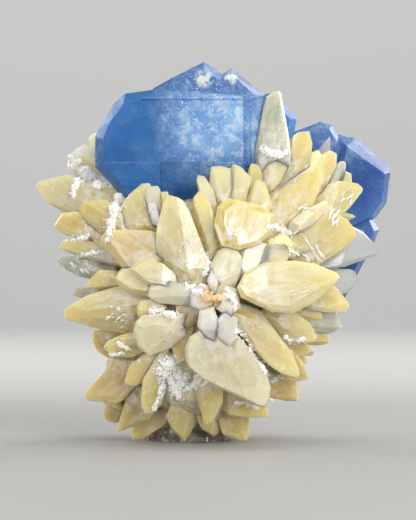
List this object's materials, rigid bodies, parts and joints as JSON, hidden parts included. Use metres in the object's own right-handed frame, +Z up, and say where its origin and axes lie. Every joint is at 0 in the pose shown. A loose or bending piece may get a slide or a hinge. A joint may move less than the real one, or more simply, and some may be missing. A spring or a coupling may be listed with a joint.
{
  "type": "mineral specimen",
  "caption": "Celestite on calcite: transparent blue tabular celestite crystals behind and above a rounded, radiating cluster of honey to cream calcite crystals, cut flat below to stand on.",
  "frame": {"origin": "on the flat cut underside, below the middle of the cluster", "axes": "+Z up from the flat underside, -Y towards the displayed front, +X to the right of the front view"},
  "size_m": [0.1077, 0.0826, 0.1137],
  "materials": {
    "calcite": "translucent, satin to glassy crystal faces",
    "celestite": "transparent, glossy crystal faces"
  },
  "bodies": {
    "root": {"calcite_cluster": "calcite", "celestite_large": "celestite", "celestite_middle": "celestite", "celestite_right": "celestite"}
  },
  "joints": []
}
